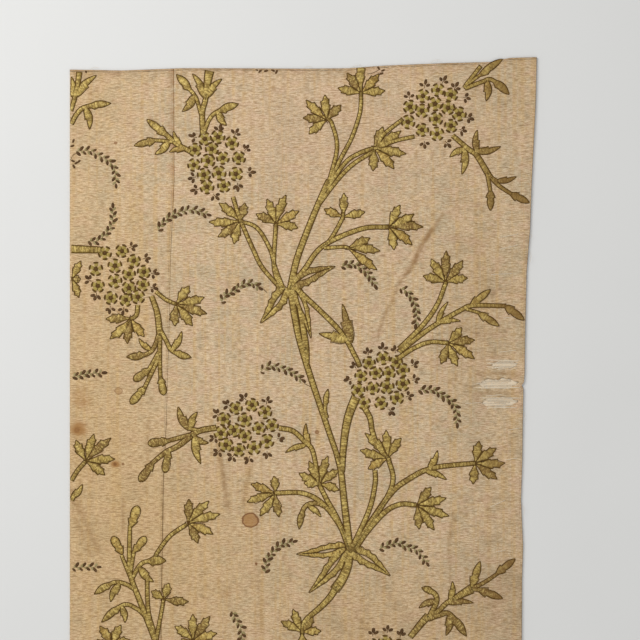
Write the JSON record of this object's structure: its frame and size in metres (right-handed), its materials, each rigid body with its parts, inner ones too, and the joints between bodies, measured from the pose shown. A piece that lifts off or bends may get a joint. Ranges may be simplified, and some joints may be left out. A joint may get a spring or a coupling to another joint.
{
  "type": "embroidered textile panel",
  "caption": "Flat panel of seamed crepe silk on a plain lining, worked with couched gold branches, palmate leaves and round flower heads, cut square at the left and foot",
  "frame": {"origin": "middle of the cloth's bounding box, on its underside", "axes": "+X to the turned right edge, +Y along the cloth towards its turned top edge, +Z out of the worked face"},
  "size_m": [0.6767, 0.8594, 0.0048],
  "materials": {
    "silk": "warm beige crepe silk, soft sheen, yellowed",
    "lining_cloth": "pale grey-beige plain weave, matt",
    "gold_thread": "laid and couched gilt thread, dulled to olive gold, dark outline",
    "floret_thread": "olive floss petals with dark brown centres",
    "seed_thread": "dark brown floss seeds on a thin stalk"
  },
  "bodies": {
    "root": {"head_1": "floret_thread", "head_2": "floret_thread", "head_3": "floret_thread", "head_4": "floret_thread", "head_5": "floret_thread", "head_6": "floret_thread", "lining": "lining_cloth", "seeds_1": "seed_thread", "seeds_10": "seed_thread", "seeds_11": "seed_thread", "seeds_12": "seed_thread", "seeds_13": "seed_thread", "seeds_2": "seed_thread", "seeds_3": "seed_thread", "seeds_4": "seed_thread", "seeds_5": "seed_thread", "seeds_6": "seed_thread", "seeds_7": "seed_thread", "seeds_8": "seed_thread", "seeds_9": "seed_thread", "silk_left": "silk", "silk_right": "silk", "spray_base": "gold_thread", "spray_cornerleft": "gold_thread", "spray_cornerlow": "gold_thread", "spray_edge": "gold_thread", "spray_foot": "gold_thread", "spray_leafc": "gold_thread", "spray_leafd": "gold_thread", "spray_leafe": "gold_thread", "spray_leafn": "gold_thread", "spray_leafs": "gold_thread", "spray_leafu": "gold_thread", "spray_leafw": "gold_thread", "spray_lower": "gold_thread", "spray_lowleft": "gold_thread", "spray_middleleft": "gold_thread", "spray_right": "gold_thread", "spray_seamtop": "gold_thread", "spray_sidebuds": "gold_thread", "spray_top": "gold_thread", "spray_topright": "gold_thread", "spray_upper": "gold_thread"}
  },
  "joints": []
}
